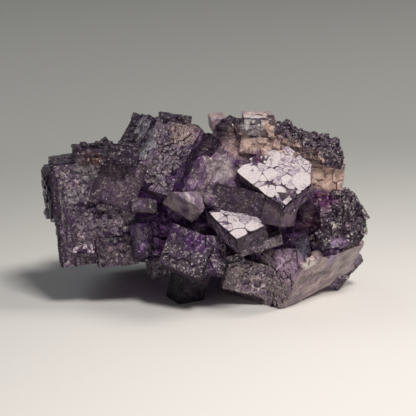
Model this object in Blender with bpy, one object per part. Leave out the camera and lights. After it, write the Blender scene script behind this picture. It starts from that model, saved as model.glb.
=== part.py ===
"""A fluorite specimen: purple cubes grown into one another, with mosaic faces and a broken, flat base."""

import math
import random

import bmesh
import bpy
from mathutils import Euler, Matrix, Vector

MM = 0.001
# The middle of the finished base, measured from the point that the crystals are placed from.
BASE_MIDDLE = (-0.71, 7.19, 0.0)
NAME = "fluorite_cluster"

# Each crystal: the corner that its edges leave from and its edge lengths in mm, and its turn
# about X, Y and Z in degrees. A negative edge runs the other way from the corner.
FRONT = {
    "front_cube": ((8.5, -24.0, 25.5), (18, -17, 29), (10.5, 16.5, -5.0)),
    "glare_cube": ((22.1, -19.3, 33.9), (28, -29, 35), (17.5, 20.0, -5.5)),
    "centre": ((-8.0, -11.5, 37.0), (-21, 28, 6), (34.0, 14.0, 20.0)),
    "tan_cap": ((4.0, -3.6, 41.9), (-21, 28, 6), (21.0, 10.0, 13.0)),
    "centre_step": ((-1.4, -14.0, 31.2), (38, 34, 0), (-11.5, 6.0, -7.5)),
    "low_front": ((-2.5, -20.0, 12.0), (-29, 15, -20), (-14.0, 12.0, 13.0)),
    "recess": ((-21.0, -8.0, 13.5), (2, -6, 8), (21.0, 14.0, 15.0)),
    "bar_left": ((3.3, -15.5, 14.4), (8, -10, 10), (8.0, 7.0, 3.0)),
    "bar_right": ((10.0, -15.5, 17.6), (8, -14, 10), (13.5, 7.0, 3.5)),
    "low_left": ((-17.0, -13.0, 9.0), (0, -6, 16), (6.0, 8.0, 6.0)),
    "low_dark": ((-9.0, -9.0, -1.0), (5, 10, 30), (8.5, 9.0, 12.0)),
    "front_wall": ((22.0, -19.0, 28.1), (-15, 0, -30), (-8.5, 9.0, 10.0)),
    "wall_left": ((15.0, -16.8, 28.8), (-15, 6, -27), (-18.0, 9.0, 8.5)),
    "front_fill": ((-1.5, -18.0, 12.3), (-14, 6, 6), (6.5, 10.0, 12.5)),
    "lower_front": ((4.3, -11.0, 6.1), (-4, 15, 2), (14.0, 12.0, 10.5)),
    "glow_step": ((20.9, -14.5, 12.8), (-10, -12, -30), (7.5, 8.0, 6.5)),
    "purple_band": ((-11.8, -10.5, 35.9), (-22, 31, -8), (5.0, 8.0, 22.0)),
}
LEFT = {
    "left_block": ((-44.0, -12.0, 13.0), (-3, -4, 9), (23.5, 15.0, 32.0)),
    "left_rib": ((-44.8, -12.8, 15.0), (-3, -5, 9), (2.0, 10.0, 29.0)),
    "left_ridge": ((-42.6, -12.9, 20.0), (-3, -3, 10), (1.5, 10.0, 18.0)),
    "left_spine": ((-40.4, -12.7, 14.0), (-4, -5, 8), (1.7, 10.0, 15.0)),
    "left_glint": ((-40.9, -13.6, 18.2), (39, 0, -4), (6.5, 4.5, -2.5)),
    "left_low": ((-33.5, -12.6, 13.0), (-4, -3, 9), (12.5, 12.0, 9.5)),
    "left_side": ((-47.0, -7.0, 26.0), (-2, -3, 18), (9.0, 11.0, 16.0)),
    "left_back": ((-40.0, -12.5, 44.8), (0, -3, 8), (12.0, 14.0, 3.8)),
    "slab": ((-22.7, -11.0, 30.1), (-16, 22, 6), (-14.0, 9.0, 15.0)),
    "slab_top": ((-21.0, -11.5, 44.6), (-20, 10, 8), (-9.0, 7.0, 6.0)),
    "small_step": ((-23.1, -12.6, 30.8), (-24, 6, 16), (8.0, 8.0, 4.2)),
    "pink_step": ((-22.5, -13.0, 15.8), (3, -5, 12), (6.0, 8.0, 10.0)),
    "tall": ((-11.5, -12.0, 35.5), (-37, 4, -38), (-17.0, 14.0, 23.0)),
    "tall_rib": ((-20.0, -5.1, 37.1), (-37, 4, -38), (-6.5, 8.0, 22.0)),
    "tall_left": ((-22.0, 3.0, 45.5), (-40, 4, -38), (-8.5, 10.0, 12.5)),
    "tall_back": ((-15.0, 6.0, 48.0), (10, 10, 14), (9.0, 8.0, 7.0)),
    "tall_knob": ((-6.0, 0.0, 49.5), (8, 12, 20), (4.5, 6.0, 4.0)),
}
RIGHT = {
    "lower_block": ((30.2, -20.0, 14.8), (2, 5, -41), (-33.6, 30.0, -17.0)),
    "right_strip": ((41.3, 4.0, 0.2), (0, -44, 25), (10.0, 5.0, 3.5)),
    "right_end": ((47.3, 5.0, 7.3), (0, -30, 30), (3.5, 4.0, 3.0)),
    "blue_cube": ((28.0, -13.5, 13.0), (0, -14, 35), (5.5, 6.0, 9.5)),
    "wine_cube": ((28.5, -9.5, 23.0), (6, -4, 20), (8.0, 8.0, 9.5)),
    "purple_step": ((33.5, -8.0, 30.0), (6, -8, 24), (5.5, 9.0, 4.5)),
    "right_lobe": ((34.5, -11.0, 18.5), (-6, -2, 20), (12.0, 16.0, 15.0)),
    "right_shoulder": ((40.0, -8.0, 18.0), (4, 4, 26), (8.5, 14.0, 14.5)),
    "tan_block": ((28.0, -1.0, 31.5), (-8, 12, 10), (13.0, 14.0, 13.5)),
    "crust": ((21.0, -2.0, 47.0), (12, 18, 8), (21.0, 15.0, 3.5)),
}
TOP = {
    "top_cube": ((10.7, -1.5, 51.4), (6, 2, 6), (9.5, 7.0, 5.8)),
    "tan_shelf": ((9.4, -4.0, 47.3), (-20, 10, 6), (14.0, 9.0, 5.5)),
    "top_dark": ((6.5, -1.0, 53.0), (20, 13, -41), (-6.0, 7.0, -7.0)),
    "top_small": ((9.1, -4.0, 52.6), (12, 6, 15), (7.0, 7.0, 2.8)),
    "top_red": ((3.0, -4.0, 46.5), (0, 10, 20), (7.0, 8.0, 6.5)),
    "cream_cube": ((0.8, 4.0, 52.0), (4, -4, 8), (5.0, 6.0, 4.0)),
}
BACK = {
    "back_left": ((-46.0, 4.0, 13.0), (-8, 5, -14), (20.0, 14.0, 20.0)),
    "back_low": ((-30.0, 10.0, 8.0), (-16, 8, 20), (18.0, 14.0, 22.0)),
    "back_high": ((-14.0, 8.0, 22.0), (-20, -6, -14), (18.0, 14.0, 22.0)),
    "back_middle": ((2.0, 14.0, 8.0), (-14, 6, 22), (18.0, 13.0, 22.0)),
    "back_right": ((18.0, 8.0, 16.0), (-14, 10, -18), (18.0, 14.0, 18.0)),
    "back_end": ((32.0, 2.0, 12.0), (-8, -6, 12), (12.0, 16.0, 16.0)),
    "back_ridge": ((-8.0, 6.0, 31.0), (-14, -10, 30), (15.0, 12.0, 15.0)),
    "back_crest": ((13.0, 7.0, 33.0), (-10, 8, 12), (14.0, 11.0, 12.0)),
    "back_shoulder": ((-31.0, 7.0, 29.0), (-6, -6, 34), (13.0, 11.0, 12.0)),
    "back_step": ((21.0, 15.0, 5.0), (-8, 4, 30), (11.0, 10.0, 13.0)),
    "back_corner": ((-41.0, 11.0, 13.0), (6, -8, 28), (12.0, 12.0, 13.0)),
    "foot_back": ((-11.0, 12.0, -2.0), (3, 4, 8), (10.0, 14.0, 16.0)),
    "foot_right": ((16.0, 4.0, -2.0), (5, -4, 20), (12.0, 14.0, 14.0)),
}
# The mass that all of them grew on: its corner and its edges in mm.
CORE = {
    "core_left": ((-40.0, -2.0, 15.0), (34.0, 18.0, 20.0)),
    "core_middle": ((-14.0, -6.0, 10.0), (44.0, 24.0, 27.0)),
    "core_right": ((20.0, -4.0, 12.0), (20.0, 20.0, 22.0)),
    "core_top": ((-10.0, 0.0, 32.0), (40.0, 10.0, 16.0)),
}
# Where a crystal broke along a cleavage plane: a point on the plane in mm, and the way that it faces.
CLEAVAGE = {
    "lower_block": [((26.3, -16.3, 9.6), (0.64, -0.60, -0.48)),
                    ((28.3, -6.4, 0.2), (0.22, 0.06, -0.97))],
    "glare_cube": [((31.0, -14.0, 37.0), (1.0, -0.1, 0.1))],
    "right_shoulder": [((47.0, -5.0, 30.0), (0.8, -0.1, 0.6)), ((47.5, -4.0, 20.0), (0.8, -0.2, -0.6))],
    "centre_step": [((-6.3, -12.2, 37.2), (-0.15, 0.67, 0.73)), ((-1.2, -12.2, 33.7), (0.89, 0.38, -0.25))],
    "back_middle": [((20.0, 30.0, 28.0), (0.5, 0.6, 0.6))],
}

# Faces with mosaic plates: an edge axis, whether the face is at the near corner or the far end,
# and the width and length of a plate in mm.
PLATED_FACES = {
    "glare_cube": [("Z", "near", 3.8, 3.6)],
    "front_cube": [("Z", "near", 3.4, 3.2)],
    "low_front": [("Y", "near", 4.2, 3.6)],
    "tall": [("Y", "near", 4.0, 4.6)],
    "tan_cap": [("Y", "near", 5.0, 5.0)],
    "slab": [("Y", "near", 6.0, 5.0)],
    "left_block": [("Y", "near", 4.6, 4.4), ("X", "near", 2.2, 9.0), ("Z", "far", 5.0, 5.0)],
    "left_low": [("Y", "near", 4.0, 4.0)],
    "lower_block": [("Y", "near", 4.6, 4.6)],
    "lower_front": [("Y", "near", 4.6, 4.6)],
    "top_cube": [("Y", "near", 3.2, 3.0)],
    "tan_block": [("Y", "near", 5.0, 5.0)],
    "back_left": [("Y", "far", 5.0, 5.0)],
    "back_low": [("Y", "far", 5.0, 5.5), ("Z", "far", 5.0, 5.0)],
    "back_high": [("Y", "far", 5.5, 5.5), ("Z", "far", 5.0, 5.0)],
    "back_middle": [("Y", "far", 5.0, 5.5)],
    "back_right": [("Y", "far", 5.0, 5.5), ("Z", "far", 5.0, 5.0)],
    "back_ridge": [("Z", "far", 4.5, 4.5), ("Y", "far", 5.0, 5.0)],
    "back_crest": [("Z", "far", 4.5, 4.0)],
    "back_shoulder": [("Z", "far", 4.5, 4.0)],
    "back_step": [("Y", "far", 4.0, 4.5)],
    "back_end": [("X", "far", 5.0, 5.0)],
}
# How far plates may stand out, how deep they are set, the groove between two of them, all in mm, and how far
# a border is moved, as a share of the width of a plate.
PLATE_HEIGHTS = (0.0, 0.2, 0.35, 0.5)
PLATE_ROOT = 1.2
GROOVE = 0.35
BORDER_SHIFT = 0.22

# Faces with small cubes standing on them: axis, end, how many, and the cube's edge in mm.
SMALL_CUBES = {
    "right_lobe": [("Y", "near", 11, 2.2), ("Z", "far", 8, 2.2)],
    "right_shoulder": [("Y", "near", 6, 2.0), ("Z", "far", 6, 2.0)],
    "crust": [("Z", "far", 18, 2.4), ("X", "far", 4, 2.0)],
    "tall_back": [("Z", "far", 4, 1.8)],
    "right_strip": [("X", "far", 6, 2.0)],
    "top_dark": [("Z", "far", 4, 2.0)],
    "back_end": [("Z", "far", 6, 2.2)],
}
# The least and the greatest edge of a small cube as a share of the usual one, how far its middle stands
# above the face as a share of its edge, and the most that it is turned, in radians.
CUBE_EDGES = (0.65, 1.3)
CUBE_RISE = 0.12
CUBE_TURN = 0.45
# A block under the floor, which cuts the base off flat: two corners in mm.
GROUND = ((-90, -90, -30), (90, 90, 0))
# Points closer to a cleavage plane than this, in metres, count as on it.
ON_PLANE = 1e-7
AXES = "XYZ"


def placement(corner, turn):
    """The crystal's own frame, in metres: its origin at the corner, turned about X, Y and Z."""
    middle = Vector(BASE_MIDDLE)
    place = Matrix.Translation((Vector(corner) - middle) * MM)
    return place @ Euler([math.radians(angle) for angle in turn]).to_matrix().to_4x4() @ Matrix.Scale(MM, 4)


def add_box(collection, name, frame, low, high, cuts=()):
    """Adds a closed box between two corners given in the frame, broken along the cuts, if any is left."""
    low, high = Vector(low), Vector(high)
    size = Matrix.Diagonal((*(high - low), 1.0))
    shape = bmesh.new()
    bmesh.ops.create_cube(shape, size=1.0, matrix=Matrix.Translation((low + high) / 2) @ size)
    bmesh.ops.transform(shape, matrix=frame, verts=shape.verts)
    for point, facing in cuts:
        cut = bmesh.ops.bisect_plane(
            shape,
            geom=shape.verts[:] + shape.edges[:] + shape.faces[:],
            plane_co=(Vector(point) - Vector(BASE_MIDDLE)) * MM,
            plane_no=facing,
            dist=ON_PLANE,
            clear_outer=True,
        )
        rim = [item for item in cut["geom_cut"] if isinstance(item, bmesh.types.BMEdge)]
        bmesh.ops.holes_fill(shape, edges=rim)
    if not shape.faces:
        shape.free()
        return None
    bmesh.ops.recalc_face_normals(shape, faces=shape.faces)
    mesh = bpy.data.meshes.new(name)
    shape.to_mesh(mesh)
    shape.free()
    box = bpy.data.objects.new(name, mesh)
    collection.objects.link(box)
    return box


def face_frame(edges, axis, end):
    """The face's axis number, its height along that axis, and which way is out of the crystal."""
    number = AXES.index(axis)
    height = 0.0 if end == "near" else edges[number]
    outward = math.copysign(1.0, edges[number]) * (-1.0 if end == "near" else 1.0)
    return number, height, outward


def cut_positions(length, pitch, draw):
    """Plate borders along an edge: even steps, each moved a little."""
    count = max(1, round(abs(length) / pitch))
    step = length / count
    inner = [step * (i + draw.uniform(-BORDER_SHIFT, BORDER_SHIFT)) for i in range(1, count)]
    return [0.0, *inner, length]


def add_plates(collection, name, frame, edges, face, cuts, draw):
    """Raised plates in a jittered grid, with grooves between them, broken off where the crystal is."""
    axis, end, width, length = face
    number, height, outward = face_frame(edges, axis, end)
    across, along = [i for i in range(3) if i != number]
    across_cuts = cut_positions(edges[across], width, draw)
    along_cuts = cut_positions(edges[along], length, draw)
    for i in range(len(across_cuts) - 1):
        for j in range(len(along_cuts) - 1):
            raised = draw.choice(PLATE_HEIGHTS)
            if raised == 0.0:
                continue
            low, high = [0.0] * 3, [0.0] * 3
            low[number], high[number] = sorted((height - outward * PLATE_ROOT, height + outward * raised))
            for k, borders, n in ((across, across_cuts, i), (along, along_cuts, j)):
                first, last = sorted(borders[n : n + 2])
                low[k], high[k] = first + GROOVE / 2, last - GROOVE / 2
            add_box(collection, f"{name} plate {axis}{i}{j}", frame, low, high, cuts)


def add_small_cubes(collection, name, frame, edges, face, draw):
    """Small cubes sunk into a face by less than half, each turned its own way."""
    axis, end, count, size = face
    number, height, outward = face_frame(edges, axis, end)
    across, along = [i for i in range(3) if i != number]
    columns = max(1, round(math.sqrt(count * abs(edges[across] / edges[along]))))
    rows = math.ceil(count / columns)
    for n in range(count):
        edge = size * draw.uniform(*CUBE_EDGES)
        middle = [0.0] * 3
        middle[number] = height + outward * edge * CUBE_RISE
        middle[across] = edges[across] * (n % columns + draw.uniform(0.25, 0.75)) / columns
        middle[along] = edges[along] * (n // columns + draw.uniform(0.25, 0.75)) / rows
        turn = Euler([draw.uniform(-CUBE_TURN, CUBE_TURN) for _ in range(3)]).to_matrix().to_4x4()
        half = Vector((edge, edge, edge)) / 2
        add_box(collection, f"{name} cube {n}", frame @ Matrix.Translation(middle) @ turn, -half, half)


def add_crystal(collection, name, corner, turn, edges):
    frame = placement(corner, turn)
    draw = random.Random(name)
    cuts = CLEAVAGE.get(name, ())
    add_box(collection, name, frame, (0, 0, 0), edges, cuts)
    for face in PLATED_FACES.get(name, ()):
        add_plates(collection, name, frame, edges, face, cuts, draw)
    for face in SMALL_CUBES.get(name, ()):
        add_small_cubes(collection, name, frame, edges, face, draw)


def hide_helpers(collection):
    for helper in collection.objects:
        helper.hide_render = True
        helper.display_type = "WIRE"


def fluorite_material():
    """Dark purple, glassy and partly see-through."""
    material = bpy.data.materials.new("fluorite")
    material.use_nodes = True
    shader = material.node_tree.nodes["Principled BSDF"]
    shader.inputs["Base Color"].default_value = (0.10, 0.07, 0.13, 1.0)
    shader.inputs["Roughness"].default_value = 0.3
    shader.inputs["Metallic"].default_value = 0.0
    shader.inputs["IOR"].default_value = 1.434
    shader.inputs["Transmission Weight"].default_value = 0.3
    return material


def clear_scene():
    for old in list(bpy.data.objects):
        bpy.data.objects.remove(old, do_unlink=True)


def build_cluster():
    """Joins every crystal to the middle one, then breaks the base off flat at the floor."""
    grown = bpy.data.collections.new("crystals to join")
    ground = bpy.data.collections.new("ground to cut away")
    for collection in (grown, ground):
        bpy.context.scene.collection.children.link(collection)
    level = placement((0, 0, 0), (0, 0, 0))
    for name, (corner, edges) in CORE.items():
        far = [start + edge for start, edge in zip(corner, edges)]
        if name != "core_middle":
            add_box(grown, name, level, corner, far)
    for group in (FRONT, LEFT, RIGHT, TOP, BACK):
        for name, (corner, turn, edges) in group.items():
            add_crystal(grown, name, corner, turn, edges)
    below = add_box(ground, "below the base", level, *GROUND)
    hide_helpers(grown)
    hide_helpers(ground)
    corner, edges = CORE["core_middle"]
    far = [start + edge for start, edge in zip(corner, edges)]
    cluster = add_box(bpy.context.scene.collection, NAME, level, corner, far)
    join = cluster.modifiers.new("join the crystals", "BOOLEAN")
    join.operation = "UNION"
    join.operand_type = "COLLECTION"
    join.collection = grown
    join.solver = "EXACT"
    base = cluster.modifiers.new("flat base", "BOOLEAN")
    base.operation = "DIFFERENCE"
    base.object = below
    base.solver = "EXACT"
    cluster.data.materials.append(fluorite_material())
    return cluster


def main():
    clear_scene()
    build_cluster()


main()
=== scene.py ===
"""A fluorite specimen: purple cubes grown into one another, with etched mosaic faces, clear cleaved ends
and crusts of small cubes, on a plain pale floor."""

import math

import bpy
import numpy as np
from bpy.props import FloatProperty, FloatVectorProperty, IntProperty, PointerProperty
from mathutils import Euler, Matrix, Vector


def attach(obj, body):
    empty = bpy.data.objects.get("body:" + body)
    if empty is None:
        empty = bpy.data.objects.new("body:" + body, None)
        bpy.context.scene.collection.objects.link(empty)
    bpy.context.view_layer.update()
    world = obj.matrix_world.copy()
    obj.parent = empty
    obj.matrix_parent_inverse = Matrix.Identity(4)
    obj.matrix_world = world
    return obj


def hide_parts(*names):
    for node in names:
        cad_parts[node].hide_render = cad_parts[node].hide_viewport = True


bl_info = {
    "name": "Fluorite specimen",
    "version": (1, 0, 0),
    "blender": (4, 5, 0),
    "location": "View3D > Sidebar > Fluorite",
    "description": "Grows a cluster of fluorite cubes with mosaic faces and sets it on a studio floor",
    "category": "Add Mesh",
}

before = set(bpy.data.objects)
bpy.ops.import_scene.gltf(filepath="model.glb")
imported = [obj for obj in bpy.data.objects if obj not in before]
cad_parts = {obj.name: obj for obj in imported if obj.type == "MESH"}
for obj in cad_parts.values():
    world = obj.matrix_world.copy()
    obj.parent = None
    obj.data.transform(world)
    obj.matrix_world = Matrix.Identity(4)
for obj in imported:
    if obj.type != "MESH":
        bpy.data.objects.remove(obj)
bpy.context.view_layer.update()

MM = 0.001
NODE = "fluorite_cluster"
# The middle of the finished base, measured in mm from the point that the crystals are placed from.
BASE_MIDDLE = np.array([-0.71, 7.19, 0.0])
# How high above the floor the cluster is cut off flat, in mm.
FLOOR_CUT = 0.05

# Each crystal: the corner that its edges leave from in mm, its turn about X, Y and Z in degrees, its edge
# lengths in mm, and its kind of skin. A negative edge runs the other way from the corner.
CRYSTALS = {
    "front_cube": ((8.5, -24.0, 25.5), (18, -17, 29), (10.5, 16.5, -5.0), "mottled"),
    "front_wall": ((22.0, -19.0, 28.1), (-15, 0, -30), (-8.5, 9.0, 10.0), "green"),
    "wall_left": ((15.0, -16.8, 28.8), (-15, 6, -27), (-18.0, 9.0, 8.5), "smooth"),
    "front_fill": ((-1.5, -18.0, 12.3), (-14, 6, 6), (6.5, 10.0, 12.5), "plum"),
    "lower_front": ((4.3, -11.0, 6.1), (-4, 15, 2), (14.0, 12.0, 10.5), "stone"),
    "glare_cube": ((22.1, -19.3, 33.9), (28, -29, 35), (17.5, 20.0, -5.5), "mottled"),
    "centre": ((-8.0, -11.5, 37.0), (-21, 28, 6), (34.0, 14.0, 20.0), "clear"),
    "tan_cap": ((4.0, -3.6, 41.9), (-21, 28, 6), (21.0, 10.0, 13.0), "tan"),
    "centre_step": ((-1.4, -14.0, 31.2), (38, 34, 0), (-11.5, 6.0, -7.5), "facet"),
    "low_front": ((-2.5, -20.0, 12.0), (-29, 15, -20), (-14.0, 12.0, 13.0), "dusk"),
    "recess": ((-21.0, -8.0, 13.5), (2, -6, 8), (21.0, 14.0, 15.0), "purple"),
    "glow_step": ((20.9, -14.5, 12.8), (-10, -12, -30), (7.5, 8.0, 6.5), "clear"),
    "bar_left": ((3.3, -15.5, 14.4), (8, -10, 10), (8.0, 7.0, 3.0), "grey"),
    "bar_right": ((10.0, -15.5, 17.6), (8, -14, 10), (13.5, 7.0, 3.5), "grey"),
    "low_left": ((-17.0, -13.0, 9.0), (0, -6, 16), (6.0, 8.0, 6.0), "dark"),
    # low_dark's black skin is painted shade: the foot under low_front is made near black where it lies in
    # shade.
    "low_dark": ((-9.0, -9.0, -1.0), (5, 10, 30), (8.5, 9.0, 12.0), "black"),
    "left_block": ((-44.0, -12.0, 13.0), (-3, -4, 9), (23.5, 15.0, 32.0), "mottled"),
    "left_rib": ((-44.8, -12.8, 15.0), (-3, -5, 9), (2.0, 10.0, 29.0), "dark"),
    "left_ridge": ((-42.6, -12.9, 20.0), (-3, -3, 10), (1.5, 10.0, 18.0), "mottled"),
    "left_spine": ((-40.4, -12.7, 14.0), (-4, -5, 8), (1.7, 10.0, 15.0), "mottled"),
    "left_low": ((-33.5, -12.6, 13.0), (-4, -3, 9), (12.5, 12.0, 9.5), "dusk"),
    "left_side": ((-47.0, -7.0, 26.0), (-2, -3, 18), (9.0, 11.0, 16.0), "mottled"),
    "left_back": ((-40.0, -12.5, 44.8), (0, -3, 8), (12.0, 14.0, 3.8), "dark"),
    "slab": ((-22.7, -11.0, 30.1), (-16, 22, 6), (-14.0, 9.0, 15.0), "smooth"),
    "slab_top": ((-21.0, -11.5, 44.6), (-20, 10, 8), (-9.0, 7.0, 6.0), "dark"),
    "small_step": ((-23.1, -12.6, 30.8), (-24, 6, 16), (8.0, 8.0, 4.2), "smooth"),
    "pink_step": ((-22.5, -13.0, 15.8), (3, -5, 12), (6.0, 8.0, 10.0), "violet"),
    "tall": ((-11.5, -12.0, 35.5), (-37, 4, -38), (-17.0, 14.0, 23.0), "grey"),
    "tall_rib": ((-20.0, -5.1, 37.1), (-37, 4, -38), (-6.5, 8.0, 22.0), "slate"),
    "tall_left": ((-22.0, 3.0, 45.5), (-40, 4, -38), (-8.5, 10.0, 12.5), "dark"),
    "tall_back": ((-15.0, 6.0, 48.0), (10, 10, 14), (9.0, 8.0, 7.0), "dark"),
    "tall_knob": ((-6.0, 0.0, 49.5), (8, 12, 20), (4.5, 6.0, 4.0), "dark"),
    "lower_block": ((30.2, -20.0, 14.8), (2, 5, -41), (-33.6, 30.0, -17.0), "cleaved"),
    "right_strip": ((41.3, 4.0, 0.2), (0, -44, 25), (10.0, 5.0, 3.5), "wine"),
    "right_end": ((47.3, 5.0, 7.3), (0, -30, 30), (3.5, 4.0, 3.0), "wine"),
    "blue_cube": ((28.0, -13.5, 13.0), (0, -14, 35), (5.5, 6.0, 9.5), "violet"),
    "wine_cube": ((28.5, -9.5, 23.0), (6, -4, 20), (8.0, 8.0, 9.5), "wine"),
    "purple_step": ((33.5, -8.0, 30.0), (6, -8, 24), (5.5, 9.0, 4.5), "violet"),
    "right_lobe": ((34.5, -11.0, 18.5), (-6, -2, 20), (12.0, 16.0, 15.0), "drusy"),
    "right_shoulder": ((40.0, -8.0, 18.0), (4, 4, 26), (8.5, 14.0, 14.5), "drusy"),
    "tan_block": ((28.0, -1.0, 31.5), (-8, 12, 10), (13.0, 14.0, 13.5), "tan"),
    "crust": ((21.0, -2.0, 47.0), (12, 18, 8), (21.0, 15.0, 3.5), "drusy"),
    "top_cube": ((10.7, -1.5, 51.4), (6, 2, 6), (9.5, 7.0, 5.8), "cream"),
    "tan_shelf": ((9.4, -4.0, 47.3), (-20, 10, 6), (14.0, 9.0, 5.5), "clear"),
    "top_dark": ((6.5, -1.0, 53.0), (20, 13, -41), (-6.0, 7.0, -7.0), "dark"),
    "top_small": ((9.1, -4.0, 52.6), (12, 6, 15), (7.0, 7.0, 2.8), "dark"),
    "top_red": ((3.0, -4.0, 46.5), (0, 10, 20), (7.0, 8.0, 6.5), "wine"),
    "cream_cube": ((0.8, 4.0, 52.0), (4, -4, 8), (5.0, 6.0, 4.0), "cream"),
    "left_glint": ((-40.9, -13.6, 18.2), (39, 0, -4), (6.5, 4.5, -2.5), "mottled"),
    "purple_band": ((-11.8, -10.5, 35.9), (-22, 31, -8), (5.0, 8.0, 22.0), "purple"),
    "back_left": ((-46.0, 4.0, 13.0), (-8, 5, -14), (20.0, 14.0, 20.0), "mottled"),
    "back_low": ((-30.0, 10.0, 8.0), (-16, 8, 20), (18.0, 14.0, 22.0), "grey"),
    "back_high": ((-14.0, 8.0, 22.0), (-20, -6, -14), (18.0, 14.0, 22.0), "grey"),
    "back_middle": ((2.0, 14.0, 8.0), (-14, 6, 22), (18.0, 13.0, 22.0), "mottled"),
    "back_right": ((18.0, 8.0, 16.0), (-14, 10, -18), (18.0, 14.0, 18.0), "grey"),
    "back_end": ((32.0, 2.0, 12.0), (-8, -6, 12), (12.0, 16.0, 16.0), "drusy"),
    "back_ridge": ((-8.0, 6.0, 31.0), (-14, -10, 30), (15.0, 12.0, 15.0), "smooth"),
    "back_crest": ((13.0, 7.0, 33.0), (-10, 8, 12), (14.0, 11.0, 12.0), "dark"),
    "back_shoulder": ((-31.0, 7.0, 29.0), (-6, -6, 34), (13.0, 11.0, 12.0), "purple"),
    "back_step": ((21.0, 15.0, 5.0), (-8, 4, 30), (11.0, 10.0, 13.0), "violet"),
    "back_corner": ((-41.0, 11.0, 13.0), (6, -8, 28), (12.0, 12.0, 13.0), "purple"),
    "foot_back": ((-11.0, 12.0, -2.0), (3, 4, 8), (10.0, 14.0, 16.0), "dark"),
    "foot_right": ((16.0, 4.0, -2.0), (5, -4, 20), (12.0, 14.0, 14.0), "dark"),
    "core_left": ((-40.0, -2.0, 15.0), (0, 0, 0), (34.0, 18.0, 20.0), "purple"),
    "core_middle": ((-14.0, -6.0, 10.0), (0, 0, 0), (44.0, 24.0, 27.0), "purple"),
    "core_right": ((20.0, -4.0, 12.0), (0, 0, 0), (20.0, 20.0, 22.0), "purple"),
    "core_top": ((-10.0, 0.0, 32.0), (0, 0, 0), (40.0, 10.0, 16.0), "purple"),
}

# Where a crystal broke along a cleavage plane: a point on the plane in mm, and the way that it faces.
CLEAVAGE = {
    "lower_block": [((26.3, -16.3, 9.6), (0.64, -0.60, -0.48)),
                    ((28.3, -6.4, 0.2), (0.22, 0.06, -0.97))],
    "glare_cube": [((31.0, -14.0, 37.0), (1.0, -0.1, 0.1))],
    "right_shoulder": [((47.0, -5.0, 30.0), (0.8, -0.1, 0.6)), ((47.5, -4.0, 20.0), (0.8, -0.2, -0.6))],
    "centre_step": [((-6.3, -12.2, 37.2), (-0.15, 0.67, 0.73)), ((-1.2, -12.2, 33.7), (0.89, 0.38, -0.25))],
    "back_middle": [((20.0, 30.0, 28.0), (0.5, 0.6, 0.6))],
}

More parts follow.
